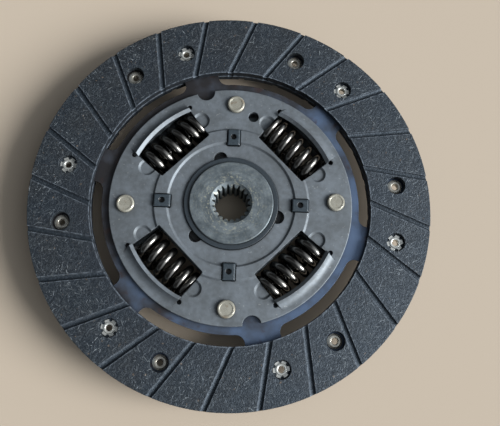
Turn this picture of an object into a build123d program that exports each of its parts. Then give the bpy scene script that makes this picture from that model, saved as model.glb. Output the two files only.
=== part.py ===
from build123d import *
import os
from math import cos, hypot, radians, sin, tan

# Clutch friction disc with a four-spring torsion damper, 200 mm class.
# +Z points to the flywheel side. The long end of the hub stands on Z = 0, and Z is the disc's axis.
# All sizes are millimetres and all angles degrees, counted from +X towards +Y.

os.makedirs("parts", exist_ok=True)

# ---- driving dimensions ------------------------------------------------------------------------

# friction facings
DISC_R = 100.0
FACING_INNER_R = 70.0
FACING_T = 3.3
GROOVE_COUNT = 24
GROOVE_WIDTH = 2.6
GROOVE_DEPTH = 1.0
GROOVE_OFFSET = 29.5        # distance of each groove's line from the disc's axis
GROOVE_HEADING = -7.5       # direction in which the first groove runs outwards

# facing rivets: six hold each facing, and the other facing has a clearance hole over each of them
RIVET_CIRCLE_R = 84.0
FACING_RIVETS = 6
FRONT_RIVET_ANGLE = 48.5
REAR_RIVET_ANGLE = 8.5
RIVET_SHANK_R = 2.5
RIVET_BORE_R = 1.55
RIVET_MOUTH_ROUND = 0.45
RIVET_EDGE_ROUND = 0.2
RIVET_HEAD_R = 3.75
RIVET_HEAD_TOP_R = 2.7
RIVET_HEAD_T = 0.8
RIVET_HEAD_EDGE = 0.3
RIVET_TAIL_R = 4.05
RIVET_TAIL_T = 0.8
RIVET_PETAL_T = 0.3
RIVET_ROLL_TOP_R = 2.55
RIVET_ROLL_FOOT_R = 2.85
RIVET_PETALS = 6
RIVET_PETAL_ANGLES = (59, 54, 54, 52, 9, 10)    # how the setting tool left each tail turned
RIVET_SPLIT_CIRCLE_R = 3.85
RIVET_SPLIT_R = 0.85
COUNTERBORE_R = 4.6
COUNTERBORE_DEPTH = 2.5

# cushion plate: a flat spring steel plate whose paddles have their free ends pressed backwards
CUSHION_T = 0.8
CUSHION_WAVE = 0.8
CUSHION_INNER_R = 46.5
CUSHION_NECK_R = 64.5       # outer edge of the continuous ring
PADDLE_INNER_R = 71.5
PADDLE_OUTER_R = 97.5
PADDLES = 6
SPOKE_ANGLE = 45.0
SPOKE_HALF_ANGLE = 7.4
SLOT_CORNER_R = 4.5
PADDLE_START = 0.0          # the pressed pad of the first paddle runs from here ...
PAD_END = 17.0              # ... to here,
SLOPE_END = 25.0            # is back on the flat here,
PADDLE_END = 57.0           # and the paddle ends here
CUSHION_WINDOW_MARGIN = 1.0

# cover plates, front and rear, pressed from one thickness of sheet
COVER_T = 2.2
COVER_R = 60.7
COVER_GAP = 9.2             # between the inner faces of the two covers
FRONT_COVER_HOLE_R = 23.7
REAR_COVER_HOLE_R = 19.6
BEAD_INNER_R = 31.2
BEAD_OUTER_R = 39.2
BEAD_RISE = 0.9
BEAD_SLOPE = 1.0
COVER_EDGE_ROUND = 0.4
KEY_NOTCH_R = 3.4
KEY_NOTCH_CENTRE_R = 24.0
KEY_NOTCH_ANGLE = 105.0
KEY_NOTCHES = 3
RIM_NOTCH_R = 4.6
RIM_NOTCH_ANGLES = (104.5, 281.5)
TOOLING_HOLE_R = 2.7
TOOLING_HOLE_CENTRE_R = 47.2
TOOLING_HOLE_ANGLE = 78.0

# spring windows of the covers: a straight inner edge, sides that open outwards, and a raised lip
WINDOWS = 4
WINDOW_ANGLE = 45.0
WINDOW_INNER_Y = 33.6
WINDOW_INNER_HALF = 16.0
WINDOW_FLARE = 6.0
WINDOW_SIDE_TOP_Y = 50.3
WINDOW_CORNER_R = 0.8
LIP_ROOT_R = 58.4
LIP_HALF_WIDTH = 17.85
LIP_SIDE_GAP = 0.1
LIP_BEND_R = 5.0
LIP_BEND_ANGLE = 51.0
LIP_STRAIGHT = 0.8
LIP_OVERLAP = 0.8
LIP_SWEEP = 44.0
RELIEF_HOLE_R = 1.2
RELIEF_HOLE_CENTRE_R = 54.9
RELIEF_HOLE_ANGLE = 20.0
DIMPLE_R = 4.2
DIMPLE_TAPER = 45.0
DIMPLE_WALL = 0.6
DIMPLE_DEPTH = 1.0
DIMPLE_X = 18.5
DIMPLE_Y = 42.4

# stop pins, shouldered rivets that space the covers and limit the twist of the hub
PIN_CIRCLE_R = 52.4
PIN_ANGLES = (2.6, 89.4, 182.6, 269.4)
PIN_SHANK_R = 3.0
PIN_SHOULDER_R = 4.0
PIN_HEAD_R = 4.4
PIN_HEAD_T = 1.7
PIN_HEAD_ROUND = 0.5
PIN_DISH_R = 3.2
PIN_DISH_DEPTH = 0.15

# torsion springs
SPRING_CENTRE_R = 43.5
SPRING_R = 8.75
SPRING_WIRE = 4.0
SPRING_LENGTH = 32.2
SPRING_TURNS = 4            # open turns between the closed turn at each end
SPRING_TIP_ANGLES = (-47.0, 76.0, -47.0, 137.0)     # of the wire's end, from the front towards the hub
INNER_SPRING_R = 4.4
INNER_SPRING_WIRE = 2.0
INNER_SPRING_LENGTH = 29.7
INNER_SPRING_TURNS = 6
INNER_SPRING_TIP_ANGLE = 60.0
INNER_SPRING_WINDOWS = (1, 3)
CLOSED_TURN_GAP = 0.1       # between the wires of a closed turn

# hub with its flange, one forging
HUB_LENGTH = 21.0
HUB_FACE_ABOVE_CUSHION = 4.6
HUB_FRONT_R = 21.0
HUB_REAR_R = 17.5
HUB_ROOT_FILLET = 1.2
HUB_EDGE_CHAMFER = 0.4
HUB_FOOT_CHAMFER = 1.0
FLANGE_R = 57.5
FLANGE_T = 4.0
FLANGE_WINDOW_HALF = 16.25
FLANGE_WINDOW_INNER_Y = 34.0
FLANGE_WINDOW_OUTER_Y = 52.9
FLANGE_WINDOW_CORNER_R = 1.0
TWIST_DRIVE = 9.0           # twist of the hub towards +, from rest to the stop
TWIST_COAST = 7.0           # twist of the hub towards -, from rest to the stop
STOP_CLEARANCE = 0.15
NOTCH_RUNOUT = 4.0          # how far a notch's cutter runs past the flange's rim

# splined bore
SPLINE_TEETH = 20
FIRST_SPACE_ANGLE = 12.5
SPLINE_MINOR_R = 8.2
SPLINE_MAJOR_R = 9.6
SPACE_HALF_ANGLE_MINOR = 5.0
SPACE_HALF_ANGLE_MAJOR = 1.8
BORE_CHAMFER_R = 10.5

# bush, friction ring with its lugs, friction washer and cone spring
BUSH_CLEARANCE = 0.05
BUSH_R = 23.5
BUSH_PROUD = 1.0
BUSH_COLLAR_R = 26.0
BUSH_COLLAR_T = 1.0
RING_INNER_R = 26.2
RING_OUTER_R = 33.0
LUG_CENTRE_R = 34.4
LUG_LENGTH = 8.4
LUG_WIDTH = 6.4
LUG_PROUD = 0.8
LUG_CHAMFER = 0.6
LUG_HOLE_R = 1.45
LUG_HOLE_DEPTH = 1.5
LUG_SLOT_MARGIN = 0.4
LUG_SLOT_CORNER_R = 0.8
LUGS = 4
WASHER_INNER_R = 19.0
WASHER_T = 1.2
CONE_INNER_R = 19.4
CONE_OUTER_R = 32.0
CONE_T = 0.7

# ---- levels above the foot of the hub -----------------------------------------------------------

cushion_low = HUB_LENGTH - HUB_FACE_ABOVE_CUSHION - CUSHION_T / 2
cushion_top = cushion_low + CUSHION_T
facing_rear_back = cushion_low - CUSHION_WAVE
front_cover_in = cushion_top
rear_cover_in = front_cover_in - COVER_GAP
front_cover_out = front_cover_in + COVER_T
rear_cover_out = rear_cover_in - COVER_T
damper_mid = front_cover_in - COVER_GAP / 2
flange_low = damper_mid - FLANGE_T / 2
flange_top = damper_mid + FLANGE_T / 2

FRONT = 1
REAR = -1
OVERLAP = 1.0               # how far a cutter or a joining piece runs past the face that it meets
TOLERANCE = 0.01            # when an edge or a corner is looked up by its place


def at(radius, angle):
    """Point on a circle about the disc's axis."""
    return (radius * cos(radians(angle)), radius * sin(radians(angle)))


def radial_plane(angle, radius=0.0):
    """Plane that holds the disc's axis: its x runs outwards along the angle and its y is +Z."""
    x, y = at(radius, angle)
    outwards = at(1.0, angle)
    return Plane(origin=(x, y, 0), x_dir=(*outwards, 0), z_dir=(outwards[1], -outwards[0], 0))


def each_window():
    """Turned places whose +Y runs outwards through the middle of each spring window."""
    return PolarLocations(0, WINDOWS, start_angle=WINDOW_ANGLE - 90)


def circles_at(piece, radius, z):
    """Round edges of a piece that have this radius and lie at this height."""
    return piece.edges().filter_by(GeomType.CIRCLE).filter_by(
        lambda edge: abs(edge.radius - radius) < TOLERANCE and abs(edge.center().Z - z) < TOLERANCE)


def write(builder, name):
    """Label a finished piece and write it."""
    builder.part.label = name
    export_step(builder.part, f"parts/{name}.step")


# ---- friction facings ---------------------------------------------------------------------------

def make_facing(side, back_z, own_rivet_angle, other_rivet_angle):
    """One grooved ring: counterbores for its own rivets, clearance holes over the other facing's."""
    face_z = back_z + side * FACING_T
    face = Plane(origin=(0, 0, face_z), x_dir=(1, 0, 0), z_dir=(0, 0, side))
    groove_start = (DISC_R**2 - GROOVE_OFFSET**2) ** 0.5 + GROOVE_WIDTH
    groove_end = (FACING_INNER_R**2 - GROOVE_OFFSET**2) ** 0.5 - GROOVE_WIDTH
    with BuildPart() as facing:
        with BuildSketch(face):
            Circle(DISC_R)
            Circle(FACING_INNER_R, mode=Mode.SUBTRACT)
        extrude(amount=-FACING_T)
        with BuildSketch(face):
            with PolarLocations(0, GROOVE_COUNT, start_angle=GROOVE_HEADING):
                with Locations(((groove_start + groove_end) / 2, GROOVE_OFFSET)):
                    Rectangle(groove_start - groove_end, GROOVE_WIDTH)
        extrude(amount=-GROOVE_DEPTH, mode=Mode.SUBTRACT)
        with Locations(face):
            with PolarLocations(RIVET_CIRCLE_R, FACING_RIVETS, start_angle=side * own_rivet_angle):
                CounterBoreHole(RIVET_SHANK_R, COUNTERBORE_R, COUNTERBORE_DEPTH, FACING_T)
            with PolarLocations(RIVET_CIRCLE_R, FACING_RIVETS, start_angle=side * other_rivet_angle):
                Hole(COUNTERBORE_R, FACING_T)
    return facing


facing_front = make_facing(FRONT, cushion_top, FRONT_RIVET_ANGLE, REAR_RIVET_ANGLE)
write(facing_front, "facing_front")

facing_rear = make_facing(REAR, facing_rear_back, REAR_RIVET_ANGLE, FRONT_RIVET_ANGLE)
write(facing_rear, "facing_rear")


# ---- facing rivets ------------------------------------------------------------------------------

def make_facing_rivet(side, angle, petal_angle):
    """Tubular rivet: its head lies on the cushion, its split tail rolls over in its own facing."""
    seat_z = cushion_low
    head_z = seat_z - side * RIVET_HEAD_T
    tail_z = seat_z + side * (CUSHION_T + FACING_T - COUNTERBORE_DEPTH)
    tail_end_z = tail_z + side * RIVET_TAIL_T
    x, y = at(RIVET_CIRCLE_R, angle)
    with BuildPart() as rivet:
        with BuildSketch(radial_plane(angle, RIVET_CIRCLE_R)):
            with BuildLine():
                Polyline(
                    (RIVET_BORE_R, head_z),
                    (RIVET_HEAD_TOP_R, head_z),
                    (RIVET_HEAD_R, seat_z - side * RIVET_HEAD_EDGE),
                    (RIVET_HEAD_R, seat_z),
                    (RIVET_SHANK_R, seat_z),
                    (RIVET_SHANK_R, tail_z),
                    (RIVET_TAIL_R, tail_z),
                    (RIVET_TAIL_R, tail_z + side * RIVET_PETAL_T),
                    (RIVET_ROLL_FOOT_R, tail_z + side * RIVET_PETAL_T),
                    (RIVET_ROLL_TOP_R, tail_end_z),
                    (RIVET_BORE_R, tail_end_z),
                    close=True,
                )
            make_face()
        revolve(axis=Axis((x, y, 0), (0, 0, 1)))
        for end_z in (head_z, tail_end_z):
            fillet(circles_at(rivet, RIVET_BORE_R, end_z), RIVET_MOUTH_ROUND)
        fillet(circles_at(rivet, RIVET_HEAD_TOP_R, head_z), RIVET_EDGE_ROUND)
        fillet(circles_at(rivet, RIVET_ROLL_TOP_R, tail_end_z), RIVET_EDGE_ROUND)
        with BuildSketch(Plane((x, y, tail_z), z_dir=(0, 0, side))):
            with PolarLocations(RIVET_SPLIT_CIRCLE_R, RIVET_PETALS,
                                start_angle=side * petal_angle + 180 / RIVET_PETALS):
                Circle(RIVET_SPLIT_R)
        extrude(amount=RIVET_TAIL_T, mode=Mode.SUBTRACT)
    return rivet


for index in range(FACING_RIVETS):
    step_angle = index * 360 / FACING_RIVETS
    petal_angle = RIVET_PETAL_ANGLES[index]
    facing_rivet_front = make_facing_rivet(FRONT, FRONT_RIVET_ANGLE + step_angle, petal_angle)
    write(facing_rivet_front, f"facing_rivet_front_{index + 1}")
    facing_rivet_rear = make_facing_rivet(REAR, REAR_RIVET_ANGLE + step_angle, petal_angle)
    write(facing_rivet_rear, f"facing_rivet_rear_{index + 1}")


# ---- cushion plate ------------------------------------------------------------------------------

def sector(inner_r, outer_r, start, end):
    """Piece of a ring between two radii and two angles."""
    middle = (start + end) / 2
    with BuildSketch() as piece:
        with BuildLine():
            Line(at(inner_r, start), at(outer_r, start))
            ThreePointArc(at(outer_r, start), at(outer_r, middle), at(outer_r, end))
            Line(at(outer_r, end), at(inner_r, end))
            ThreePointArc(at(inner_r, end), at(inner_r, middle), at(inner_r, start))
        make_face()
    return piece.sketch


def window_outline(margin=0.0):
    """A cover's spring window about +Y, grown by a margin."""
    inner_half = WINDOW_INNER_HALF + margin
    inner_y = WINDOW_INNER_Y - margin
    top_half = inner_half + (WINDOW_SIDE_TOP_Y - inner_y) * tan(radians(WINDOW_FLARE))
    root_r = LIP_ROOT_R + margin
    root_x = LIP_HALF_WIDTH + LIP_SIDE_GAP + margin
    root_y = (root_r**2 - root_x**2) ** 0.5
    with BuildSketch() as outline:
        with BuildLine():
            Polyline((-root_x, root_y), (-top_half, WINDOW_SIDE_TOP_Y), (-inner_half, inner_y),
                     (inner_half, inner_y), (top_half, WINDOW_SIDE_TOP_Y), (root_x, root_y))
            ThreePointArc((root_x, root_y), (0, root_r), (-root_x, root_y))
        make_face()
        fillet(outline.vertices().group_by(Axis.Y)[0], WINDOW_CORNER_R)
    return outline.sketch


def dimple_outline(radius):
    """The two dimples beside a window, open towards it."""
    with BuildSketch() as outline:
        with Locations((-DIMPLE_X, DIMPLE_Y), (DIMPLE_X, DIMPLE_Y)):
            Circle(radius)
        with Locations((0, DIMPLE_Y)):
            Rectangle(2 * DIMPLE_X, 2 * radius)
    return outline.sketch


def corners_at(sketch, radius):
    """Corners of a sketch that lie on a circle about the disc's axis."""
    return sketch.vertices().filter_by(lambda corner: abs(hypot(corner.X, corner.Y) - radius) < TOLERANCE)


paddle_pitch = 360 / PADDLES
paddle_mid_r = (PADDLE_OUTER_R + PADDLE_INNER_R) / 2
paddle_width = PADDLE_OUTER_R - PADDLE_INNER_R

with BuildPart() as cushion_plate:
    with BuildSketch(Plane.XY.offset(cushion_low)) as cushion_flat:
        Circle(CUSHION_NECK_R)
        for paddle in range(PADDLES):
            turn = paddle * paddle_pitch
            spoke = SPOKE_ANGLE + turn
            add(sector(CUSHION_NECK_R - OVERLAP, PADDLE_INNER_R + OVERLAP,
                       spoke - SPOKE_HALF_ANGLE, spoke + SPOKE_HALF_ANGLE))
            add(sector(PADDLE_INNER_R, PADDLE_OUTER_R, SLOPE_END + turn, PADDLE_END + turn))
        fillet(corners_at(cushion_flat, CUSHION_NECK_R), SLOT_CORNER_R)
        Circle(CUSHION_INNER_R, mode=Mode.SUBTRACT)
    extrude(amount=CUSHION_T)
    # pressed pads, and the slopes that join them to the flat
    with BuildSketch(Plane.XY.offset(cushion_low - CUSHION_WAVE)):
        for paddle in range(PADDLES):
            turn = paddle * paddle_pitch
            add(sector(PADDLE_INNER_R, PADDLE_OUTER_R, PADDLE_START + turn, PAD_END + turn))
    extrude(amount=CUSHION_T)
    for paddle in range(PADDLES):
        turn = paddle * paddle_pitch
        flat_mid = cushion_low + CUSHION_T / 2
        with BuildSketch(radial_plane(PAD_END + turn)):
            with Locations((paddle_mid_r, flat_mid - CUSHION_WAVE)):
                Rectangle(paddle_width, CUSHION_T)
        with BuildSketch(radial_plane(SLOPE_END + turn)):
            with Locations((paddle_mid_r, flat_mid)):
                Rectangle(paddle_width, CUSHION_T)
        loft(ruled=True)
    # room for the springs, the rivets, the stop pins and the tooling hole
    with BuildSketch(Plane.XY.offset(cushion_low)):
        with each_window():
            add(window_outline(CUSHION_WINDOW_MARGIN))
            add(dimple_outline(DIMPLE_R + CUSHION_WINDOW_MARGIN))
    extrude(amount=CUSHION_T, mode=Mode.SUBTRACT)
    with BuildSketch(Plane.XY.offset(cushion_low - CUSHION_WAVE)):
        with PolarLocations(RIVET_CIRCLE_R, FACING_RIVETS, start_angle=FRONT_RIVET_ANGLE):
            Circle(RIVET_SHANK_R)
        with PolarLocations(RIVET_CIRCLE_R, FACING_RIVETS, start_angle=REAR_RIVET_ANGLE):
            Circle(RIVET_SHANK_R)
        with Locations(*[at(PIN_CIRCLE_R, angle) for angle in PIN_ANGLES]):
            Circle(PIN_SHANK_R)
        with Locations(at(TOOLING_HOLE_CENTRE_R, TOOLING_HOLE_ANGLE)):
            Circle(TOOLING_HOLE_R)
    extrude(amount=CUSHION_WAVE + CUSHION_T, mode=Mode.SUBTRACT)
write(cushion_plate, "cushion_plate")


# ---- cover plates -------------------------------------------------------------------------------

def make_lip(side, inner_z):
    """Lip bent up along the outer edge of a window that lies on +Y."""

    def bend(radius, angle, beyond=0.0):
        """Point of the bend about the lip's own centre, or of the straight beyond the bend."""
        turn = radians(angle)
        height = COVER_T + LIP_BEND_R - radius * cos(turn) + beyond * sin(turn)
        return (LIP_ROOT_R - radius * sin(turn) - beyond * cos(turn), inner_z + side * height)

    under_r = LIP_BEND_R + COVER_T
    middle = LIP_BEND_ANGLE / 2
    root_r = LIP_ROOT_R + LIP_OVERLAP
    with BuildPart() as lip:
        with BuildSketch(radial_plane(90 - LIP_SWEEP / 2)):
            with BuildLine():
                ThreePointArc(bend(under_r, 0), bend(under_r, middle), bend(under_r, LIP_BEND_ANGLE))
                Polyline(
                    bend(under_r, LIP_BEND_ANGLE),
                    bend(under_r, LIP_BEND_ANGLE, LIP_STRAIGHT),
                    bend(LIP_BEND_R, LIP_BEND_ANGLE, LIP_STRAIGHT),
                    bend(LIP_BEND_R, LIP_BEND_ANGLE),
                )
                ThreePointArc(bend(LIP_BEND_R, LIP_BEND_ANGLE), bend(LIP_BEND_R, middle),
                              bend(LIP_BEND_R, 0))
                Polyline(
                    bend(LIP_BEND_R, 0),
                    (root_r, inner_z + side * COVER_T),
                    (root_r, inner_z),
                    bend(under_r, 0),
                )
            make_face()
        revolve(axis=Axis.Z, revolution_arc=LIP_SWEEP)
        with BuildSketch(Plane.XY.offset(inner_z)):
            with Locations((0, LIP_ROOT_R)):
                Rectangle(2 * LIP_HALF_WIDTH, LIP_ROOT_R)
        extrude(amount=side * under_r, mode=Mode.INTERSECT)
    return lip.part


def make_cover(side, inner_z, hole_r):
    """Pressed cover with a bead, four lipped spring windows, spring dimples and pin holes."""

    def level(height):
        return inner_z + side * height

    lip = make_lip(side, inner_z)
    with BuildPart() as cover:
        with BuildSketch(Plane.XZ):
            with BuildLine():
                Polyline(
                    (hole_r, level(0)),
                    (BEAD_INNER_R, level(0)),
                    (BEAD_INNER_R + BEAD_SLOPE, level(BEAD_RISE)),
                    (BEAD_OUTER_R - BEAD_SLOPE, level(BEAD_RISE)),
                    (BEAD_OUTER_R, level(0)),
                    (COVER_R, level(0)),
                    (COVER_R, level(COVER_T)),
                    (BEAD_OUTER_R, level(COVER_T)),
                    (BEAD_OUTER_R - BEAD_SLOPE, level(COVER_T + BEAD_RISE)),
                    (BEAD_INNER_R + BEAD_SLOPE, level(COVER_T + BEAD_RISE)),
                    (BEAD_INNER_R, level(COVER_T)),
                    (hole_r, level(COVER_T)),
                    close=True,
                )
            make_face()
        revolve(axis=Axis.Z)
        fillet(circles_at(cover, COVER_R, level(COVER_T)), COVER_EDGE_ROUND)

        # dimples beside both ends of each window, pressed inwards through the sheet
        with BuildSketch(Plane.XY.offset(level(0))):
            with each_window():
                add(dimple_outline(DIMPLE_R + DIMPLE_WALL))
        extrude(amount=-side * DIMPLE_DEPTH, taper=DIMPLE_TAPER)
        with BuildSketch(Plane.XY.offset(level(COVER_T))):
            with each_window():
                add(dimple_outline(DIMPLE_R))
        extrude(amount=-side * DIMPLE_DEPTH, taper=DIMPLE_TAPER, mode=Mode.SUBTRACT)

        # spring windows, each with its lip
        with BuildSketch(Plane.XY.offset(level(-DIMPLE_DEPTH))):
            with each_window():
                add(window_outline())
        extrude(amount=side * (2 * DIMPLE_DEPTH + COVER_T), mode=Mode.SUBTRACT)
        with each_window():
            add(lip)

        # holes: reliefs at the lips' ends, and the stop pins'
        with BuildSketch(Plane.XY.offset(level(-DIMPLE_DEPTH))):
            with PolarLocations(RELIEF_HOLE_CENTRE_R, WINDOWS, start_angle=WINDOW_ANGLE - RELIEF_HOLE_ANGLE):
                Circle(RELIEF_HOLE_R)
            with PolarLocations(RELIEF_HOLE_CENTRE_R, WINDOWS, start_angle=WINDOW_ANGLE + RELIEF_HOLE_ANGLE):
                Circle(RELIEF_HOLE_R)
            with Locations(*[at(PIN_CIRCLE_R, angle) for angle in PIN_ANGLES]):
                Circle(PIN_SHANK_R)
            if side == FRONT:
                # key notches in the centre hole, locating notches in the rim, the tooling hole
                # and the slots through which the friction ring's lugs stand
                with PolarLocations(KEY_NOTCH_CENTRE_R, KEY_NOTCHES, start_angle=KEY_NOTCH_ANGLE):
                    Circle(KEY_NOTCH_R)
                with Locations(*[at(COVER_R, angle) for angle in RIM_NOTCH_ANGLES]):
                    Circle(RIM_NOTCH_R)
                with Locations(at(TOOLING_HOLE_CENTRE_R, TOOLING_HOLE_ANGLE)):
                    Circle(TOOLING_HOLE_R)
                with PolarLocations(LUG_CENTRE_R, LUGS):
                    RectangleRounded(LUG_LENGTH + 2 * LUG_SLOT_MARGIN, LUG_WIDTH + 2 * LUG_SLOT_MARGIN,
                                     LUG_SLOT_CORNER_R)
        extrude(amount=side * (2 * DIMPLE_DEPTH + COVER_T), mode=Mode.SUBTRACT)
    return cover


cover_plate_front = make_cover(FRONT, front_cover_in, FRONT_COVER_HOLE_R)
write(cover_plate_front, "cover_plate_front")

cover_plate_rear = make_cover(REAR, rear_cover_in, REAR_COVER_HOLE_R)
write(cover_plate_rear, "cover_plate_rear")


# ---- stop pins ----------------------------------------------------------------------------------

for index, pin_angle in enumerate(PIN_ANGLES):
    pin_x, pin_y = at(PIN_CIRCLE_R, pin_angle)
    pin_axis = Axis((pin_x, pin_y, 0), (0, 0, 1))
    head_top = front_cover_out + PIN_HEAD_T
    head_low = rear_cover_out - PIN_HEAD_T
    with BuildPart() as stop_pin:
        with BuildSketch(radial_plane(pin_angle, PIN_CIRCLE_R)):
            with BuildLine():
                Polyline(
                    (0, head_low),
                    (PIN_HEAD_R - PIN_HEAD_ROUND, head_low),
                    (PIN_HEAD_R, head_low + PIN_HEAD_ROUND),
                    (PIN_HEAD_R, rear_cover_out),
                    (PIN_SHANK_R, rear_cover_out),
                    (PIN_SHANK_R, rear_cover_in),
                    (PIN_SHOULDER_R, rear_cover_in),
                    (PIN_SHOULDER_R, cushion_low),
                    (PIN_SHANK_R, cushion_low),
                    (PIN_SHANK_R, front_cover_out),
                    (PIN_HEAD_R, front_cover_out),
                    (PIN_HEAD_R, head_top - PIN_HEAD_ROUND),
                    (PIN_HEAD_R - PIN_HEAD_ROUND, head_top),
                    (PIN_DISH_R, head_top),
                    (PIN_DISH_R - PIN_DISH_DEPTH, head_top - PIN_DISH_DEPTH),
                    (0, head_top - PIN_DISH_DEPTH),
                    close=True,
                )
            make_face()
        revolve(axis=pin_axis)
    write(stop_pin, f"stop_pin_{index + 1}")


# ---- hub and flange -----------------------------------------------------------------------------

bore_chamfer = BORE_CHAMFER_R - SPLINE_MINOR_R
notch_r = PIN_SHOULDER_R + STOP_CLEARANCE
notch_open_r = FLANGE_R + NOTCH_RUNOUT

with BuildPart() as hub:
    with BuildSketch(Plane.XZ):
        with BuildLine():
            Polyline(
                (SPLINE_MINOR_R, bore_chamfer),
                (BORE_CHAMFER_R, 0),
                (HUB_REAR_R - HUB_FOOT_CHAMFER, 0),
                (HUB_REAR_R, HUB_FOOT_CHAMFER),
                (HUB_REAR_R, flange_low),
                (FLANGE_R, flange_low),
                (FLANGE_R, flange_top),
                (HUB_FRONT_R, flange_top),
                (HUB_FRONT_R, HUB_LENGTH - HUB_EDGE_CHAMFER),
                (HUB_FRONT_R - HUB_EDGE_CHAMFER, HUB_LENGTH),
                (BORE_CHAMFER_R, HUB_LENGTH),
                (SPLINE_MINOR_R, HUB_LENGTH - bore_chamfer),
                close=True,
            )
        make_face()
    revolve(axis=Axis.Z)

    # spring windows of the flange
    with BuildSketch(Plane.XY.offset(flange_low)):
        with each_window():
            with Locations((0, (FLANGE_WINDOW_INNER_Y + FLANGE_WINDOW_OUTER_Y) / 2)):
                RectangleRounded(2 * FLANGE_WINDOW_HALF, FLANGE_WINDOW_OUTER_Y - FLANGE_WINDOW_INNER_Y,
                                 FLANGE_WINDOW_CORNER_R)
    extrude(amount=FLANGE_T, mode=Mode.SUBTRACT)

    # open notches in which the stop pins travel
    with BuildSketch(Plane.XY.offset(flange_low)):
        for pin_angle in PIN_ANGLES:
            low_angle = pin_angle - TWIST_DRIVE
            high_angle = pin_angle + TWIST_COAST
            low_x, low_y = at(PIN_CIRCLE_R, low_angle)
            high_x, high_y = at(PIN_CIRCLE_R, high_angle)
            side_low = at(notch_r, low_angle - 90)
            side_high = at(notch_r, high_angle + 90)
            reach_low = at(notch_open_r - PIN_CIRCLE_R, low_angle)
            reach_high = at(notch_open_r - PIN_CIRCLE_R, high_angle)
            with BuildLine(mode=Mode.PRIVATE) as travel:
                ThreePointArc(at(PIN_CIRCLE_R, low_angle), at(PIN_CIRCLE_R, (low_angle + high_angle) / 2),
                              at(PIN_CIRCLE_R, high_angle))
            SlotArc(travel.wire(), 2 * notch_r)
            with BuildLine():
                Polyline(
                    (low_x + side_low[0], low_y + side_low[1]),
                    (low_x + side_low[0] + reach_low[0], low_y + side_low[1] + reach_low[1]),
                    (high_x + side_high[0] + reach_high[0], high_y + side_high[1] + reach_high[1]),
                    (high_x + side_high[0], high_y + side_high[1]),
                    close=True,
                )
            make_face()
    extrude(amount=FLANGE_T, mode=Mode.SUBTRACT)

    # spaces between the spline teeth
    with BuildSketch():
        with PolarLocations(0, SPLINE_TEETH, start_angle=FIRST_SPACE_ANGLE):
            Polygon(
                at(SPLINE_MINOR_R - OVERLAP, -SPACE_HALF_ANGLE_MINOR),
                at(SPLINE_MINOR_R, -SPACE_HALF_ANGLE_MINOR),
                at(SPLINE_MAJOR_R, -SPACE_HALF_ANGLE_MAJOR),
                at(SPLINE_MAJOR_R, SPACE_HALF_ANGLE_MAJOR),
                at(SPLINE_MINOR_R, SPACE_HALF_ANGLE_MINOR),
                at(SPLINE_MINOR_R - OVERLAP, SPACE_HALF_ANGLE_MINOR),
                align=None,
            )
    extrude(amount=HUB_LENGTH, mode=Mode.SUBTRACT)

    # forged root between the flange and the two ends of the hub
    fillet(circles_at(hub, HUB_REAR_R, flange_low), HUB_ROOT_FILLET)
write(hub, "hub")


# ---- torsion springs ----------------------------------------------------------------------------

def make_coil(outer_r, wire, length, open_turns, lefthand=False):
    """Coil spring standing on Z = 0, with a closed turn ground flat at each end."""
    coil_r = outer_r - wire / 2
    closed = wire + CLOSED_TURN_GAP
    rise = length - 2 * closed
    with BuildPart() as coil:
        with BuildLine() as path:
            Helix(closed, closed, coil_r, lefthand=lefthand)
            Helix(rise / open_turns, rise, coil_r, center=(0, 0, closed), lefthand=lefthand)
            Helix(closed, closed, coil_r, center=(0, 0, length - closed), lefthand=lefthand)
        with BuildSketch(Plane(origin=path.wire() @ 0, z_dir=path.wire() % 0)):
            Circle(wire / 2)
        sweep(path=path.wire(), is_frenet=True)
        with BuildSketch():
            Circle(outer_r + OVERLAP)
        extrude(amount=length, mode=Mode.INTERSECT)
    return coil.part


def spring_place(index, length, tip_angle):
    """Place from which a spring of this length runs across a window, turned about its own axis."""
    angle = WINDOW_ANGLE + index * 360 / WINDOWS
    x, y = at(SPRING_CENTRE_R, angle)
    across = at(1.0, angle - 90)
    start = (x - across[0] * length / 2, y - across[1] * length / 2, damper_mid)
    return Location(Plane(origin=start, x_dir=(0, 0, 1), z_dir=(*across, 0))) * Rotation(0, 0, tip_angle)


torsion_coil = make_coil(SPRING_R, SPRING_WIRE, SPRING_LENGTH, SPRING_TURNS)
for index, tip_angle in enumerate(SPRING_TIP_ANGLES):
    with BuildPart() as torsion_spring:
        with Locations(spring_place(index, SPRING_LENGTH, tip_angle)):
            add(torsion_coil)
    write(torsion_spring, f"torsion_spring_{index + 1}")

inner_coil = make_coil(INNER_SPRING_R, INNER_SPRING_WIRE, INNER_SPRING_LENGTH, INNER_SPRING_TURNS,
                       lefthand=True)
for number, index in enumerate(INNER_SPRING_WINDOWS):
    with BuildPart() as inner_spring:
        with Locations(spring_place(index, INNER_SPRING_LENGTH, INNER_SPRING_TIP_ANGLE)):
            add(inner_coil)
    write(inner_spring, f"inner_spring_{number + 1}")


# ---- bush, friction ring, friction washer and cone spring ---------------------------------------

with BuildPart() as hub_bush:
    with BuildSketch(Plane.XZ):
        with BuildLine():
            bush_inner_r = HUB_FRONT_R + BUSH_CLEARANCE
            bush_top = front_cover_out + BUSH_PROUD
            Polyline(
                (bush_inner_r, flange_top),
                (BUSH_R, flange_top),
                (BUSH_R, front_cover_in - BUSH_COLLAR_T),
                (BUSH_COLLAR_R, front_cover_in - BUSH_COLLAR_T),
                (BUSH_COLLAR_R, front_cover_in),
                (BUSH_R, front_cover_in),
                (BUSH_R, bush_top),
                (bush_inner_r, bush_top),
                close=True,
            )
        make_face()
    revolve(axis=Axis.Z)
write(hub_bush, "hub_bush")

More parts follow.
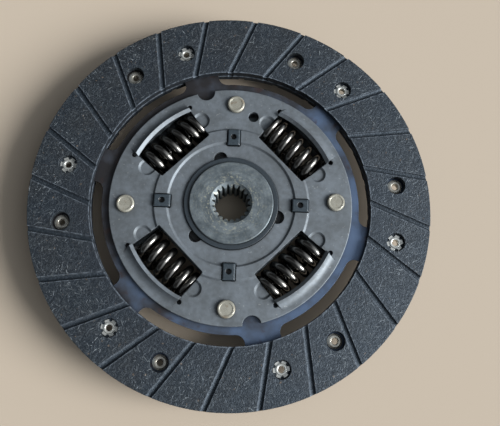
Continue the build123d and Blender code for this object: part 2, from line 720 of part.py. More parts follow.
with BuildPart() as friction_ring:
    with BuildSketch(Plane.XY.offset(flange_top)):
        Circle(RING_OUTER_R)
        with PolarLocations(LUG_CENTRE_R, LUGS):
            Rectangle(LUG_LENGTH, LUG_WIDTH)
        Circle(RING_INNER_R, mode=Mode.SUBTRACT)
    extrude(amount=front_cover_in - flange_top)
    lug_top = front_cover_out + BEAD_RISE + LUG_PROUD
    with BuildSketch(Plane.XY.offset(front_cover_in)):
        with PolarLocations(LUG_CENTRE_R, LUGS):
            Rectangle(LUG_LENGTH, LUG_WIDTH)
    extrude(amount=lug_top - front_cover_in)
    chamfer(friction_ring.faces().group_by(Axis.Z)[-1].edges(), LUG_CHAMFER)
    with Locations(Plane.XY.offset(lug_top)):
        with PolarLocations(LUG_CENTRE_R, LUGS):
            Hole(LUG_HOLE_R, LUG_HOLE_DEPTH)
write(friction_ring, "friction_ring")

with BuildPart() as friction_washer:
    with BuildSketch(Plane.XY.offset(flange_low)):
        Circle(RING_OUTER_R)
        Circle(WASHER_INNER_R, mode=Mode.SUBTRACT)
    extrude(amount=-WASHER_T)
write(friction_washer, "friction_washer")

with BuildPart() as cone_spring:
    with BuildSketch(Plane.XZ):
        with BuildLine():
            cone_top = flange_low - WASHER_T
            Polyline(
                (CONE_INNER_R, cone_top - CONE_T),
                (CONE_INNER_R, cone_top),
                (CONE_OUTER_R, rear_cover_in + CONE_T),
                (CONE_OUTER_R, rear_cover_in),
                close=True,
            )
        make_face()
    revolve(axis=Axis.Z)
write(cone_spring, "cone_spring")
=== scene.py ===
import bmesh
import bpy
from math import cos, pi, radians, sin
from mathutils import Euler, Matrix, Vector


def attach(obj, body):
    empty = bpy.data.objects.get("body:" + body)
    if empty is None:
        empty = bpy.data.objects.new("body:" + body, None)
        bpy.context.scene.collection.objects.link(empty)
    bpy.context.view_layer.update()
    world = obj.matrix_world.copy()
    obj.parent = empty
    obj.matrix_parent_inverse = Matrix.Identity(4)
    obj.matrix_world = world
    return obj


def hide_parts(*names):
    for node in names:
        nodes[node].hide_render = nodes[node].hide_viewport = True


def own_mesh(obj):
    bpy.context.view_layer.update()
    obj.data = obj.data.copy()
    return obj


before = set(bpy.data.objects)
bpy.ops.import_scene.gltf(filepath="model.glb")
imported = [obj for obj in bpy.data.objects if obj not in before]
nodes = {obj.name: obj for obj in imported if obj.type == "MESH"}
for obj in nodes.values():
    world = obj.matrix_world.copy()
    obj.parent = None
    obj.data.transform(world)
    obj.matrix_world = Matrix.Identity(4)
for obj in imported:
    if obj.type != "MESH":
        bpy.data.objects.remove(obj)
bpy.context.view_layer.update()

# ---- sizes, in metres ---------------------------------------------------------------------------

MM = 0.001

window_angles = (45, 135, 225, 315)
spring_circle_r = 43.5 * MM
damper_height = 12.2 * MM

outer_spring = {"outer_r": 8.75 * MM, "wire": 4.0 * MM, "length": 32.2 * MM, "open_turns": 4, "hand": 1}
inner_spring = {"outer_r": 4.4 * MM, "wire": 2.0 * MM, "length": 29.7 * MM, "open_turns": 6, "hand": -1}
spring_tip_angles = (-47, 76, -47, 137)
inner_spring_tip_angle = 60
inner_spring_windows = (1, 3)       # places in window_angles
closed_turn_gap = 0.1 * MM
coil_sides = 20
steps_a_turn = 40
ground_face_angle = radians(40)

# ---- sizes that the finishes follow, in millimetres ---------------------------------------------

facing_inner_r = 70.0
groove_step = radians(15)
groove_heading = radians(-7.5)
groove_offset = 29.5
groove_half_width = 1.3
# kinds of fibre: the cell that may hold one, its half length, its half width, the share of cells used
fibre_kinds = ((2.6, 1.1, 0.13, 0.35), (4.2, 1.7, 0.15, 0.4), (1.6, 0.5, 0.12, 0.3))
tint_and_light_span = 140.0          # of the cushion plate, inside the facings
feed_mark_step = 1.1
rivet_middle_z = 16.0
rivet_head_t = 0.8

# ---- samples that find a rounded edge and a hollow ----------------------------------------------

edge_samples = 4
hollow_samples = 6

# ---- small helpers ------------------------------------------------------------------------------


def colour(hex_value):
    """Linear colour of an sRGB hex value."""
    parts = [int(hex_value[i:i + 2], 16) / 255 for i in (1, 3, 5)]
    linear = [c / 12.92 if c <= 0.04045 else ((c + 0.055) / 1.055) ** 2.4 for c in parts]
    return (*linear, 1.0)


def add_node(tree, kind, inputs=(), output=None, **settings):
    """Adds a shader node with its settings, sets or links its inputs, and gives the output asked for."""
    new = tree.nodes.new(kind)
    for name, value in settings.items():
        setattr(new, name, value)
    sockets = [socket for socket in new.inputs if socket.enabled]
    for key, value in inputs.items() if isinstance(inputs, dict) else enumerate(inputs):
        socket = sockets[key] if isinstance(key, int) else new.inputs[key]
        if isinstance(value, bpy.types.NodeSocket):
            tree.links.new(value, socket)
        elif value is not None:
            socket.default_value = value
    if output is not None:
        return new.outputs[output]
    return next((socket for socket in new.outputs if socket.enabled), new)


def start_finish(name, edge_round=0.0, **surface):
    """New material: its node tree, its shader, its place in millimetres and its edges rounded off."""
    material = bpy.data.materials.new(name)
    material.use_nodes = True
    tree = material.node_tree
    tree.nodes.clear()
    shader = tree.nodes.new("ShaderNodeBsdfPrincipled")
    for socket, value in surface.items():
        shader.inputs[socket.replace("_", " ")].default_value = value
    add_node(tree, "ShaderNodeOutputMaterial", {"Surface": shader.outputs["BSDF"]})
    metres = add_node(tree, "ShaderNodeTexCoord", output="Object")
    place = add_node(tree, "ShaderNodeVectorMath", (metres, (1000, 1000, 1000)), operation="MULTIPLY")
    edges = None
    if edge_round:
        edges = add_node(tree, "ShaderNodeBevel", {"Radius": edge_round * MM}, samples=edge_samples)
    return material, tree, shader, place, edges


def finish_off(tree, shader, base, roughness, bump):
    """Links a finish's colour, roughness and relief to its shader."""
    tree.links.new(base, shader.inputs["Base Color"])
    tree.links.new(roughness, shader.inputs["Roughness"])
    tree.links.new(bump, shader.inputs["Normal"])


def paint_shade_in_hollows(tree, base, painted_shade, reach, clear, full, share=1.0):
    """Paints shade into a colour where other surfaces, within a reach in mm, shut a place in: none
    where the place is as open as clear, and the whole share where it is no more open than full."""
    hollow = add_node(tree, "ShaderNodeAmbientOcclusion", {"Distance": reach * MM}, output="AO",
                      samples=hollow_samples)
    hollow = add_node(tree, "ShaderNodeMapRange", (hollow, clear, full, 0.0, share))
    return add_node(tree, "ShaderNodeMix", (hollow, base, colour(painted_shade)), data_type="RGBA")


def measure_from_axis(tree, place):
    """A place brought down to height 0, and its distance from the disc's axis."""
    level = add_node(tree, "ShaderNodeVectorMath", (place, (1, 1, 0)), operation="MULTIPLY")
    radius = add_node(tree, "ShaderNodeVectorMath", (level,), output="Value", operation="LENGTH")
    return level, radius


# ---- finishes -----------------------------------------------------------------------------------


def chopped_fibres(tree, place):
    """Where the fibres lie: 0.1 mm thick, drawn nearly three times as thick to show, and a little bent."""
    bend = add_node(tree, "ShaderNodeTexNoise", {"Vector": place, "Scale": 1 / 3, "Detail": 0.0},
                    output="Color")
    bent = add_node(tree, "ShaderNodeVectorMath", (bend, (1.3, 1.3, 0), place),
                    operation="MULTIPLY_ADD")
    fibres = None
    for cell, half_length, half_width, share in fibre_kinds:
        middle = add_node(tree, "ShaderNodeTexVoronoi", {"Vector": bent, "Scale": 1 / cell},
                          output="Position", voronoi_dimensions="2D")
        offset = add_node(tree, "ShaderNodeVectorMath", (bent, middle), operation="SUBTRACT")
        # each cell draws its fibre's angle, and whether it has one
        chance = add_node(tree, "ShaderNodeSeparateColor", (middle.node.outputs["Color"],)).node.outputs
        turn = add_node(tree, "ShaderNodeMath", (chance["Red"], pi), operation="MULTIPLY")
        along = add_node(tree, "ShaderNodeVectorRotate", {"Vector": offset, "Angle": turn},
                         rotation_type="Z_AXIS")
        along = add_node(tree, "ShaderNodeVectorMath", (along,), operation="ABSOLUTE")
        along = add_node(tree, "ShaderNodeVectorMath", (along, (1 / half_length, 1 / half_width, 0)),
                         operation="MULTIPLY")
        along = add_node(tree, "ShaderNodeSeparateXYZ", (along,)).node.outputs
        outside = add_node(tree, "ShaderNodeMath", (along["X"], along["Y"]), operation="MAXIMUM")
        fibre = add_node(tree, "ShaderNodeMapRange", (outside, 1.0, 0.5))
        present = add_node(tree, "ShaderNodeMapRange", (chance["Green"], 1 - share, 1.0))
        fibre = add_node(tree, "ShaderNodeMath", (fibre, present), operation="MULTIPLY")
        if fibres is None:
            fibres = fibre
        else:
            fibres = add_node(tree, "ShaderNodeMath", (fibres, fibre), operation="MAXIMUM")
    return fibres


def distance_from_groove(tree, place, radius):
    """Distance in mm from the middle of the nearest groove, a straight one that passes beside the axis."""
    axes = add_node(tree, "ShaderNodeSeparateXYZ", (place,)).node.outputs
    heading = add_node(tree, "ShaderNodeMath", (axes["Y"], axes["X"]), operation="ARCTAN2")
    lean = add_node(tree, "ShaderNodeMath", (groove_offset, radius), operation="DIVIDE")
    lean = add_node(tree, "ShaderNodeMath", (lean,), operation="ARCSINE")
    away = add_node(tree, "ShaderNodeMath", (heading, lean), operation="SUBTRACT")
    away = add_node(tree, "ShaderNodeMath", (away, groove_heading), operation="SUBTRACT")
    away = add_node(tree, "ShaderNodeMath", (away, groove_step / 2, -groove_step / 2), operation="WRAP")
    away = add_node(tree, "ShaderNodeMath", (away,), operation="ABSOLUTE")
    run = add_node(tree, "ShaderNodeMath", (radius, 2), operation="POWER")
    run = add_node(tree, "ShaderNodeMath", (run, groove_offset ** 2), operation="SUBTRACT")
    run = add_node(tree, "ShaderNodeMath", (run,), operation="SQRT")
    return add_node(tree, "ShaderNodeMath", (away, run), operation="MULTIPLY")


def flat_faces(tree):
    """1 where a surface looks up or down, and 0 on the walls."""
    normal = add_node(tree, "ShaderNodeNewGeometry", output="Normal")
    upright = add_node(tree, "ShaderNodeSeparateXYZ", (normal,), output="Z")
    upright = add_node(tree, "ShaderNodeMath", (upright,), operation="ABSOLUTE")
    return add_node(tree, "ShaderNodeMath", (upright, 0.9), operation="GREATER_THAN")


def friction_facing():
    """Organic friction facing, chopped fibres in resin, ground flat: fine pale fibres on a dark felt."""
    material, tree, shader, place, edges = start_finish(
        "organic_friction_facing", edge_round=0.35, Specular_IOR_Level=1.0,
        Specular_Tint=colour("#ccdff2"))
    radius = measure_from_axis(tree, place)[1]
    away = distance_from_groove(tree, place, radius)
    flat = flat_faces(tree)
    # the ground: patches 16 mm wide, blue grey or brown grey, and a felt of dark and pale threads
    clouds = add_node(tree, "ShaderNodeTexNoise", {"Vector": place, "Scale": 1 / 16, "Detail": 3.0})
    clouds = add_node(tree, "ShaderNodeMapRange", (clouds, 0.35, 0.65))
    base = add_node(tree, "ShaderNodeMix", (clouds, colour("#181715"), colour("#12171c")),
                    data_type="RGBA")
    felt = add_node(tree, "ShaderNodeTexNoise",
                    {"Vector": place, "Scale": 1 / 2.4, "Detail": 3.0, "Roughness": 0.6, "Distortion": 2.6})
    pale_thread = add_node(tree, "ShaderNodeMapRange", (felt, 0.5, 0.68, 0.0, 0.75))
    base = add_node(tree, "ShaderNodeMix", (pale_thread, base, colour("#3b3f41")), data_type="RGBA")
    dark_thread = add_node(tree, "ShaderNodeMapRange", (felt, 0.5, 0.38, 0.0, 0.85))
    base = add_node(tree, "ShaderNodeMix", (dark_thread, base, colour("#090b0e")), data_type="RGBA")
    # a few flecks of brass wire, which the compound holds to carry off heat
    flecks = add_node(tree, "ShaderNodeTexNoise", {"Vector": place, "Scale": 1 / 1.8, "Detail": 2.0})
    flecks = add_node(tree, "ShaderNodeMapRange", (flecks, 0.69, 0.77, 0.0, 0.6))
    base = add_node(tree, "ShaderNodeMix", (flecks, base, colour("#7d6a55")), data_type="RGBA")
    # the fibres show on the flats only, and more in some patches than in others
    patch = add_node(tree, "ShaderNodeTexNoise", {"Vector": place, "Scale": 1 / 18, "Detail": 1.0})
    patch = add_node(tree, "ShaderNodeMapRange", (patch, 0.35, 0.65, 0.25, 0.9))
    patch = add_node(tree, "ShaderNodeMath", (patch, flat), operation="MULTIPLY")
    fibres = add_node(tree, "ShaderNodeMath", (chopped_fibres(tree, place), patch),
                      operation="MULTIPLY")
    base = add_node(tree, "ShaderNodeMix", (fibres, base, colour("#8f9699")), data_type="RGBA")
    # rubbed darker over the inner 14 mm
    rubbed = add_node(tree, "ShaderNodeMapRange",
                      (radius, facing_inner_r + 14, facing_inner_r + 2, 0.0, 0.65))
    base = add_node(tree, "ShaderNodeMix", (rubbed, base, colour("#14161a")), data_type="RGBA")
    # painted shade: the grooves' floors are drawn darker
    groove_shade = add_node(tree, "ShaderNodeMapRange",
                         (away, groove_half_width, groove_half_width - 0.4, 0.0, 0.8))
    base = add_node(tree, "ShaderNodeMix", (groove_shade, base, colour("#0c1217")), data_type="RGBA")
    # grey dust rubbed along the grooves' edges and the inner rim, with a painted highlight on these edges
    edge = add_node(tree, "ShaderNodeMath", (away, groove_half_width + 0.1), operation="SUBTRACT")
    edge = add_node(tree, "ShaderNodeMath", (edge,), operation="ABSOLUTE")
    edge = add_node(tree, "ShaderNodeMapRange", (edge, 0.45, 0.1, 0.0, 0.35))
    rim = add_node(tree, "ShaderNodeMapRange",
                   (radius, facing_inner_r + 0.7, facing_inner_r + 0.2, 0.0, 0.5))
    dust_and_highlight = add_node(tree, "ShaderNodeMath", (edge, rim), operation="MAXIMUM")
    dust_and_highlight = add_node(tree, "ShaderNodeMath", (dust_and_highlight, flat), operation="MULTIPLY")
    broken = add_node(tree, "ShaderNodeTexNoise", {"Vector": place, "Scale": 1 / 2.5, "Detail": 3.0})
    broken = add_node(tree, "ShaderNodeMapRange", (broken, 0.38, 0.62, 0.1, 1.0))
    dust_and_highlight = add_node(tree, "ShaderNodeMath", (dust_and_highlight, broken), operation="MULTIPLY")
    base = add_node(tree, "ShaderNodeMix", (dust_and_highlight, base, colour("#8a949f")), data_type="RGBA")
    grit = add_node(tree, "ShaderNodeTexNoise",
                    {"Vector": place, "Scale": 1 / 1.2, "Detail": 4.0, "Roughness": 0.7})
    bump = add_node(tree, "ShaderNodeBump", {"Height": grit, "Distance": 0.05 * MM, "Normal": edges})
    bump = add_node(tree, "ShaderNodeBump", {"Height": felt, "Distance": 0.3 * MM, "Normal": bump})
    # a groove's floor is a little hollow, as the mould's ribs are rounded
    groove_rise = add_node(tree, "ShaderNodeMath", (away, groove_half_width), operation="MINIMUM")
    groove_rise = add_node(tree, "ShaderNodeMath", (groove_rise, 2), operation="POWER")
    bump = add_node(tree, "ShaderNodeBump",
                    {"Height": groove_rise, "Distance": 0.25 * MM, "Normal": bump})
    bump = add_node(tree, "ShaderNodeBump", {"Height": fibres, "Distance": 0.05 * MM, "Normal": bump})
    roughness = add_node(tree, "ShaderNodeMapRange", (fibres, 0.0, 1.0, 0.55, 0.42))
    finish_off(tree, shader, base, roughness, bump)
    return material


def phosphated_cover():
    """Pressed steel sheet, phosphated and oiled: even satin grey, faint clouds, a few pale specks."""
    material, tree, shader, place, edges = start_finish(
        "phosphated_pressed_steel", edge_round=0.4, Metallic=0.5)
    clouds = add_node(tree, "ShaderNodeTexNoise", {"Vector": place, "Scale": 1 / 14, "Detail": 3.0})
    # the crystals of the phosphate are 0.02 mm wide and are drawn 0.6 mm wide, to show
    crystals = add_node(tree, "ShaderNodeTexNoise", {"Vector": place, "Scale": 1 / 0.6, "Detail": 2.0})
    specks = add_node(tree, "ShaderNodeTexNoise", {"Vector": place, "Scale": 1 / 1.4, "Detail": 1.0})
    specks = add_node(tree, "ShaderNodeMapRange", (specks, 0.71, 0.77, 0.0, 0.4))
    mottle = add_node(tree, "ShaderNodeTexNoise", {"Vector": place, "Scale": 1 / 2.2, "Detail": 4.0})
    shade = add_node(tree, "ShaderNodeMath", (clouds, mottle), operation="ADD")
    shade = add_node(tree, "ShaderNodeMapRange", (shade, 0.75, 1.25))
    base = add_node(tree, "ShaderNodeMix", (shade, colour("#646a6e"), colour("#757d84")), data_type="RGBA")
    base = add_node(tree, "ShaderNodeMix", (specks, base, colour("#a8abab")), data_type="RGBA")
    # painted shade, darker round the pins, lugs, lips and beads, where their shadows lie
    base = paint_shade_in_hollows(tree, base, "#1c1b1b", reach=3.5, clear=0.88, full=0.4, share=0.9)
    bump = add_node(tree, "ShaderNodeBump", {"Height": crystals, "Distance": 0.006 * MM, "Normal": edges})
    roughness = add_node(tree, "ShaderNodeMapRange", (clouds, 0.3, 0.7, 0.5, 0.6))
    finish_off(tree, shader, base, roughness, bump)
    return material


def blued_cushion():
    """Spring steel blued by heat: dark grey to blue, painted lighter to the lamp's side; brown patches."""
    material, tree, shader, place, edges = start_finish(
        "heat_blued_spring_steel", edge_round=0.2, Metallic=0.6)
    # the heat tint and a painted light, brighter towards the lamp, change along a line that leans 35
    # degrees
    turned = add_node(tree, "ShaderNodeMapping",
                      {"Vector": place, "Rotation": (0, 0, radians(35)), "Scale": 3 * (1 / tint_and_light_span,)})
    across = add_node(tree, "ShaderNodeSeparateXYZ", (turned,), output="X")
    clouds = add_node(tree, "ShaderNodeTexNoise", {"Vector": place, "Scale": 1 / 13, "Detail": 4.0})
    patches = add_node(tree, "ShaderNodeMapRange", (clouds, 0.25, 0.75))
    tint_and_light = add_node(tree, "ShaderNodeMath", (across, patches), operation="ADD")
    tint_and_light = add_node(tree, "ShaderNodeValToRGB", (tint_and_light,))
    stops = tint_and_light.node.color_ramp.elements
    for position, shade in ((0.1, "#3b3a3c"), (0.35, "#484b52"), (0.6, "#545f70"), (0.95, "#5f728e")):
        stops.new(position).color = colour(shade)
    stops.remove(stops[0])
    stops.remove(stops[-1])
    rust = add_node(tree, "ShaderNodeTexNoise", {"Vector": place, "Scale": 1 / 6, "Detail": 5.0})
    rust = add_node(tree, "ShaderNodeMapRange", (rust, 0.58, 0.7, 0.0, 0.6))
    base = add_node(tree, "ShaderNodeMix", (rust, tint_and_light, colour("#4e3a34")), data_type="RGBA")
    # painted shade where the facings' inner walls and the covers shut the plate in
    base = paint_shade_in_hollows(tree, base, "#131315", reach=4, clear=0.8, full=0.2, share=0.8)
    grain = add_node(tree, "ShaderNodeTexNoise", {"Vector": place, "Scale": 1 / 0.9, "Detail": 3.0})
    bump = add_node(tree, "ShaderNodeBump", {"Height": grain, "Distance": 0.012 * MM, "Normal": edges})
    roughness = add_node(tree, "ShaderNodeMapRange", (clouds, 0.3, 0.7, 0.32, 0.46))
    finish_off(tree, shader, base, roughness, bump)
    return material


def turned_hub():
    """Forged steel, turned on its faces: dull grey, with rings, scratches and small pale specks."""
    material, tree, shader, place, edges = start_finish(
        "turned_forged_steel", edge_round=0.25, Metallic=0.5)
    clouds = add_node(tree, "ShaderNodeTexNoise", {"Vector": place, "Scale": 1 / 5, "Detail": 4.0})
    level, radius = measure_from_axis(tree, place)
    # the tool's feed marks, 0.15 mm apart, are drawn 1.1 mm apart, to show
    feed = add_node(tree, "ShaderNodeMath", (radius, 2 * pi / feed_mark_step), operation="MULTIPLY")
    feed = add_node(tree, "ShaderNodeMath", (feed,), operation="SINE")
    rings = add_node(tree, "ShaderNodeTexNoise", {"W": radius, "Scale": 1 / 2, "Detail": 2.0},
                     noise_dimensions="1D")
    shade = add_node(tree, "ShaderNodeMath", (rings, 0.5, clouds), operation="MULTIPLY_ADD")
    mottle = add_node(tree, "ShaderNodeTexNoise", {"Vector": place, "Scale": 1 / 1.3, "Detail": 4.0})
    shade = add_node(tree, "ShaderNodeMath", (mottle, 0.7, shade), operation="MULTIPLY_ADD")
    shade = add_node(tree, "ShaderNodeMapRange", (shade, 0.85, 1.4))
    base = add_node(tree, "ShaderNodeMix", (shade, colour("#596267"), colour("#7a8489")), data_type="RGBA")
    specks = add_node(tree, "ShaderNodeTexNoise", {"Vector": place, "Scale": 1 / 0.9, "Detail": 2.0})
    specks = add_node(tree, "ShaderNodeMapRange", (specks, 0.6, 0.72, 0.0, 0.7))
    # the specks crowd where another part has rubbed, to 13 mm from the axis, and thin out by 17 mm
    rubbed = add_node(tree, "ShaderNodeMapRange", (radius, 17.0, 13.0, 0.25, 1.0))
    specks = add_node(tree, "ShaderNodeMath", (specks, rubbed), operation="MULTIPLY")
    base = add_node(tree, "ShaderNodeMix", (specks, base, colour("#b3b39f")), data_type="RGBA")
    # scratches run round the bore there: a noise drawn out along the rings
    around = add_node(tree, "ShaderNodeVectorMath", (level,), operation="NORMALIZE")
    outwards = add_node(tree, "ShaderNodeCombineXYZ", {"Z": radius})
    drawn_out = add_node(tree, "ShaderNodeVectorMath", (around, (5, 5, 0), outwards),
                         operation="MULTIPLY_ADD")
    scratches = add_node(tree, "ShaderNodeTexNoise", {"Vector": drawn_out, "Scale": 1 / 0.9, "Detail": 3.0})
    scratches = add_node(tree, "ShaderNodeMapRange", (scratches, 0.56, 0.7, 0.0, 0.75))
    scratches = add_node(tree, "ShaderNodeMath", (scratches, rubbed), operation="MULTIPLY")
    base = add_node(tree, "ShaderNodeMix", (scratches, base, colour("#a9aa9c")), data_type="RGBA")
    # painted shade in the bore, the splines and round the bush
    base = paint_shade_in_hollows(tree, base, "#121110", reach=6, clear=0.7, full=0.15, share=0.9)
    bump = add_node(tree, "ShaderNodeBump", {"Height": feed, "Distance": 0.0012 * MM, "Normal": edges})
    roughness = add_node(tree, "ShaderNodeMapRange", (clouds, 0.3, 0.7, 0.36, 0.52))
    finish_off(tree, shader, base, roughness, bump)
    return material


def moulded_nylon(name, dark, light, gloss):
    """Filled nylon, moulded: dark blue grey, a soft sheen on its edges, painted shade near black in
    hollows.
    """
    material, tree, shader, place, edges = start_finish(name, edge_round=0.7)
    grain = add_node(tree, "ShaderNodeTexNoise", {"Vector": place, "Scale": 1 / 0.9, "Detail": 3.0})
    base = add_node(tree, "ShaderNodeMix", (grain, colour(dark), colour(light)), data_type="RGBA")
    # painted shade, near black in the lugs' holes and hollows
    base = paint_shade_in_hollows(tree, base, "#040506", reach=4, clear=0.85, full=0.55)
    bump = add_node(tree, "ShaderNodeBump", {"Height": grain, "Distance": 0.012 * MM, "Normal": edges})
    roughness = add_node(tree, "ShaderNodeMapRange", (grain, 0.3, 0.7, gloss, gloss + 0.1))
    finish_off(tree, shader, base, roughness, bump)
    return material


def zinc_plate(name, dark, light, stain_share, edge_round, metallic):
    """Cold-headed steel, zinc plated and passivated: warm pale grey, cloudy, with brown stains."""
    material, tree, shader, place, edges = start_finish(name, edge_round=edge_round, Metallic=metallic)
    clouds = add_node(tree, "ShaderNodeTexNoise", {"Vector": place, "Scale": 1 / 2.2, "Detail": 4.0})
    base = add_node(tree, "ShaderNodeMix", (clouds, colour(dark), colour(light)), data_type="RGBA")
    stain = add_node(tree, "ShaderNodeTexNoise", {"Vector": place, "Scale": 1 / 2.6, "Detail": 3.0})
    stain = add_node(tree, "ShaderNodeMapRange", (stain, 0.56, 0.68, 0.0, stain_share))
    base = add_node(tree, "ShaderNodeMix", (stain, base, colour("#8a7256")), data_type="RGBA")
    # painted shade in the rivets' counterbores and round the pins' feet
    base = paint_shade_in_hollows(tree, base, "#15130f", reach=1.5, clear=0.3, full=0.0, share=0.7)
    bump = add_node(tree, "ShaderNodeBump", {"Height": clouds, "Distance": 0.08 * MM, "Normal": edges})
    roughness = add_node(tree, "ShaderNodeMapRange", (clouds, 0.3, 0.7, 0.32, 0.2))
    return material, tree, shader, place, base, roughness, bump


def stop_pin_finish():
    """The stop pins: zinc plate with a yellow passivation, a warm grey."""
    material, tree, shader, _, base, roughness, bump = zinc_plate(
        "yellow_passivated_zinc_plate", "#918e80", "#cbc9bc", 0.5, edge_round=0.3, metallic=0.5)
    finish_off(tree, shader, base, roughness, bump)
    return material


def facing_rivet_finish():
    """The facing rivets: dull zinc plate on the heads, burnished bright on the rolled tails."""
    material, tree, shader, place, base, roughness, bump = zinc_plate(
        "zinc_plated_rivet_steel", "#a8a69c", "#d8d5cb", 0.35, edge_round=0.12, metallic=0.7)
    height = add_node(tree, "ShaderNodeSeparateXYZ", (place,), output="Z")
    height = add_node(tree, "ShaderNodeMath", (height, rivet_middle_z), operation="SUBTRACT")
    height = add_node(tree, "ShaderNodeMath", (height,), operation="ABSOLUTE")
    tail = add_node(tree, "ShaderNodeMath", (height, rivet_head_t + 0.5), operation="GREATER_THAN")
    bright = add_node(tree, "ShaderNodeTexNoise", {"Vector": place, "Scale": 1 / 1.5, "Detail": 3.0})
    bright = add_node(tree, "ShaderNodeMix", (bright, colour("#c2c4be"), colour("#f8faf6")),
                      data_type="RGBA")
    base = add_node(tree, "ShaderNodeMix", (tail, base, bright), data_type="RGBA")
    finish_off(tree, shader, base, roughness, bump)
    return material


def black_spring():
    """Oil-tempered spring wire, blackened: dark gloss, long streaks of light, painted shade between turns.
    """
    material, tree, shader, place, edges = start_finish("blackened_spring_wire", Metallic=1.0)
    fine = add_node(tree, "ShaderNodeTexNoise", {"Vector": place, "Scale": 1 / 0.9, "Detail": 2.0})
    base = add_node(tree, "ShaderNodeMix", (fine, colour("#6a6966"), colour("#7e7c78")), data_type="RGBA")
    specks = add_node(tree, "ShaderNodeTexNoise", {"Vector": place, "Scale": 1 / 1.1, "Detail": 1.0})
    specks = add_node(tree, "ShaderNodeMapRange", (specks, 0.76, 0.80, 0.0, 0.6))
    base = add_node(tree, "ShaderNodeMix", (specks, base, colour("#b5b2ab")), data_type="RGBA")
    # painted shade, near black, where the turns shut each other in
    base = paint_shade_in_hollows(tree, base, "#050506", reach=4, clear=0.6, full=0.2, share=0.97)
    bump = add_node(tree, "ShaderNodeBump", {"Height": fine, "Distance": 0.006 * MM, "Normal": edges})
    roughness = add_node(tree, "ShaderNodeMapRange", (fine, 0.3, 0.7, 0.2, 0.26))
    finish_off(tree, shader, base, roughness, bump)
    return material


def plain_washer():
    """Cold-rolled steel strip: bright grey, lightly clouded."""
    material, tree, shader, place, edges = start_finish(
        "cold_rolled_steel_strip", edge_round=0.2, Metallic=1.0)
    clouds = add_node(tree, "ShaderNodeTexNoise", {"Vector": place, "Scale": 1 / 3, "Detail": 4.0})
    base = add_node(tree, "ShaderNodeMix", (clouds, colour("#6f7375"), colour("#8d9193")), data_type="RGBA")
    bump = add_node(tree, "ShaderNodeBump", {"Height": clouds, "Distance": 0.01 * MM, "Normal": edges})
    roughness = add_node(tree, "ShaderNodeMapRange", (clouds, 0.3, 0.7, 0.3, 0.42))
    finish_off(tree, shader, base, roughness, bump)
    return material


spring_wire = black_spring()
steel_strip = plain_washer()

# by the start of a node's name; the first that fits is used, so the longer of two stands first
finishes = {
    "facing_rivet": facing_rivet_finish(),
    "facing_": friction_facing(),
    "cushion_plate": blued_cushion(),
    "cover_plate": phosphated_cover(),
    "hub_bush": moulded_nylon("moulded_glass_filled_nylon", "#262d32", "#353e45", 0.36),
    "hub": turned_hub(),
    "friction_ring": moulded_nylon("moulded_fibre_filled_nylon", "#272f35", "#414b52", 0.26),
    "stop_pin": stop_pin_finish(),
    "torsion_spring": spring_wire,
    "inner_spring": spring_wire,
    "friction_washer": steel_strip,
    "cone_spring": steel_strip,
}

for name, node in nodes.items():
    finish = next(finishes[start] for start in finishes if name.startswith(start))
    node.data.materials.clear()
    node.data.materials.append(finish)

# ---- torsion springs ----------------------------------------------------------------------------


def wind_spring(name, window, tip_angle, outer_r, wire, length, open_turns, hand):
    """Coil spring across a window: a wire section spun round, its end turns closed and ground flat."""
    coil_r = outer_r - wire / 2
    closed = wire + closed_turn_gap
    rise = length - 2 * closed
    mesh = bmesh.new()
    lead = hand * rise / open_turns / (2 * pi * coil_r)
    section = bmesh.ops.create_circle(mesh, segments=coil_sides, radius=wire / 2)
    upright = Euler((pi / 2 - lead, 0, 0)).to_matrix().to_4x4()
    bmesh.ops.transform(mesh, verts=section["verts"],
                        matrix=Matrix.Translation((coil_r, 0, 0)) @ upright)
    last = mesh.edges[:]
    for turns, climb in ((1, closed), (open_turns, rise), (1, closed)):
        count = round(steps_a_turn * turns)
        section = last + list({vert for edge in last for vert in edge.verts})
        spun = bmesh.ops.spin(mesh, geom=section, cent=(0, 0, 0), axis=(0, 0, hand),
                              dvec=(0, 0, climb / count), angle=2 * pi * turns, steps=count)
        last = [item for item in spun["geom_last"] if isinstance(item, bmesh.types.BMEdge)]
    open_edges = [edge for edge in mesh.edges if edge.is_boundary]
    bmesh.ops.edgeloop_fill(mesh, edges=open_edges)
    for face in mesh.faces:
        face.smooth = len(face.verts) == 4
    for height, up in ((0, -1), (length, 1)):
        cut = bmesh.ops.bisect_plane(mesh, geom=mesh.verts[:] + mesh.edges[:] + mesh.faces[:],
                                     plane_co=(0, 0, height), plane_no=(0, 0, up), clear_outer=True)
        rim = [item for item in cut["geom_cut"] if isinstance(item, bmesh.types.BMEdge)]
        bmesh.ops.edgeloop_fill(mesh, edges=rim)
    bmesh.ops.recalc_face_normals(mesh, faces=mesh.faces)
    angle = radians(window)
    outwards = Vector((cos(angle), sin(angle), 0))
    across = Vector((sin(angle), -cos(angle), 0))
    middle = outwards * spring_circle_r + Vector((0, 0, damper_height))
    axes = Matrix((Vector((0, 0, 1)), -outwards, across)).transposed().to_4x4()
    start = Matrix.Translation(middle - across * length / 2)
    place = start @ axes @ Matrix.Rotation(radians(tip_angle), 4, "Z")
    bmesh.ops.transform(mesh, matrix=place, verts=mesh.verts)
    data = bpy.data.meshes.new(name)
    mesh.to_mesh(data)
    mesh.free()
    data.set_sharp_from_angle(angle=ground_face_angle)
    spring = bpy.data.objects.new(name, data)
    bpy.context.scene.collection.objects.link(spring)
    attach(spring, "springs")
    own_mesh(spring)
    return spring


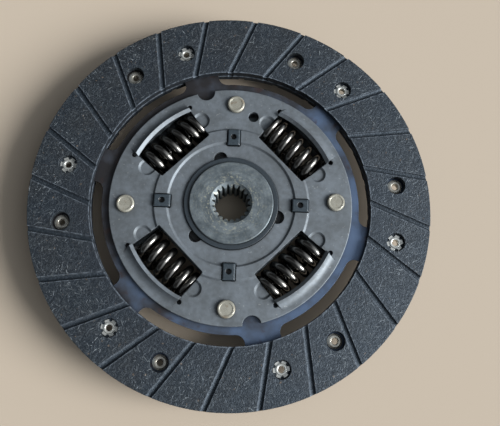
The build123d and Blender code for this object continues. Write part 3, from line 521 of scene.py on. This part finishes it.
for index, window in enumerate(window_angles):
    coil = wind_spring(f"outer_coil_{index + 1}", window, spring_tip_angles[index], **outer_spring)
    coil.data.materials.append(spring_wire)
    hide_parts(f"torsion_spring_{index + 1}")
for number, index in enumerate(inner_spring_windows):
    coil = wind_spring(f"inner_coil_{number + 1}", window_angles[index], inner_spring_tip_angle,
                       **inner_spring)
    coil.data.materials.append(spring_wire)
    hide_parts(f"inner_spring_{number + 1}")

# ---- floor, light and camera --------------------------------------------------------------------

floor_size = 6

# daylight from one side: a broad lamp, and a glow of the world about it; angles in degrees
daylight_heading = -13
daylight_elevation = 30
lamp_spread = 32
lamp_power = 5.3
glow_elevation = 12
glow_least = 0.06
glow_most = 1.7
strip_strength = 0.2

camera_sensor = 36
camera_lens = 44.35
camera_near = 0.01
camera_place = (-0.375 * MM, -72.338 * MM, 317.715 * MM)
camera_turn = (radians(12.703), radians(-2.292), radians(1.763))


def lay_floor():
    """Plain pale floor under the hub's foot."""
    bpy.ops.mesh.primitive_plane_add(size=floor_size)
    floor = bpy.context.object
    floor.name = "floor"
    material = bpy.data.materials.new("pale_floor")
    material.use_nodes = True
    shader = material.node_tree.nodes["Principled BSDF"]
    shader.inputs["Base Color"].default_value = colour("#b9ac9b")
    shader.inputs["Roughness"].default_value = 0.85
    shader.inputs["Specular IOR Level"].default_value = 0.15
    floor.data.materials.append(material)


def towards(heading, elevation):
    """Direction of a heading and an elevation in degrees."""
    a, e = radians(heading), radians(elevation)
    return Vector((cos(a) * cos(e), sin(a) * cos(e), sin(e)))


def hang_lamp(name, heading, elevation, spread, power):
    """Broad, far lamp at a heading and an elevation in degrees, which lights disc and floor evenly."""
    lamp = bpy.data.lights.new(name, "SUN")
    lamp.angle = radians(spread)
    lamp.energy = power
    holder = bpy.data.objects.new(name, lamp)
    bpy.context.scene.collection.objects.link(holder)
    holder.rotation_euler = towards(heading, elevation).to_track_quat("Z", "Y").to_euler()


def light_from_all_round():
    """Soft light, stronger from the daylight's side, and a plain pale backdrop for the camera."""
    world = bpy.data.worlds.new("studio")
    bpy.context.scene.world = world
    world.use_nodes = True
    tree = world.node_tree
    tree.nodes.clear()
    direction = add_node(tree, "ShaderNodeTexCoord", output="Generated")
    facing_daylight = add_node(
        tree, "ShaderNodeVectorMath", (direction, tuple(towards(daylight_heading, glow_elevation))),
        output="Value", operation="DOT_PRODUCT")
    strength = add_node(tree, "ShaderNodeMapRange", (facing_daylight, 0.2, 1.0, glow_least, glow_most))
    # a dim strip arches over the disc, from the daylight's side to the far one, and draws streaks
    # along the springs' wire
    sideways = add_node(
        tree, "ShaderNodeVectorMath", (direction, tuple(towards(daylight_heading + 90, 0))),
        output="Value", operation="DOT_PRODUCT")
    sideways = add_node(tree, "ShaderNodeMath", (sideways,), operation="ABSOLUTE")
    strip = add_node(tree, "ShaderNodeMapRange", (sideways, 0.3, 0.1, 0.0, strip_strength))
    upwards = add_node(tree, "ShaderNodeSeparateXYZ", (direction,), output="Z")
    upwards = add_node(tree, "ShaderNodeMapRange", (upwards, 0.1, 0.4))
    strip = add_node(tree, "ShaderNodeMath", (strip, upwards), operation="MULTIPLY")
    strength = add_node(tree, "ShaderNodeMath", (strength, strip), operation="ADD")
    soft_light = add_node(tree, "ShaderNodeBackground",
                          {"Color": colour("#e6ecf3"), "Strength": strength})
    backdrop = add_node(tree, "ShaderNodeBackground", {"Color": colour("#ddd6cc"), "Strength": 1.0})
    seen = add_node(tree, "ShaderNodeLightPath", output="Is Camera Ray")
    shown = add_node(tree, "ShaderNodeMixShader", (seen, soft_light, backdrop))
    add_node(tree, "ShaderNodeOutputWorld", {"Surface": shown})


def set_up_camera():
    """Camera over the disc, 13 degrees off upright."""
    camera = bpy.data.cameras.new("camera")
    camera.sensor_width = camera_sensor
    camera.lens = camera_lens
    camera.clip_start = camera_near
    holder = bpy.data.objects.new("camera", camera)
    bpy.context.scene.collection.objects.link(holder)
    holder.location = camera_place
    holder.rotation_euler = camera_turn
    bpy.context.scene.camera = holder


lay_floor()
hang_lamp("window_light", daylight_heading, daylight_elevation, lamp_spread, lamp_power)
light_from_all_round()
set_up_camera()

bpy.context.scene.view_settings.view_transform = "Standard"
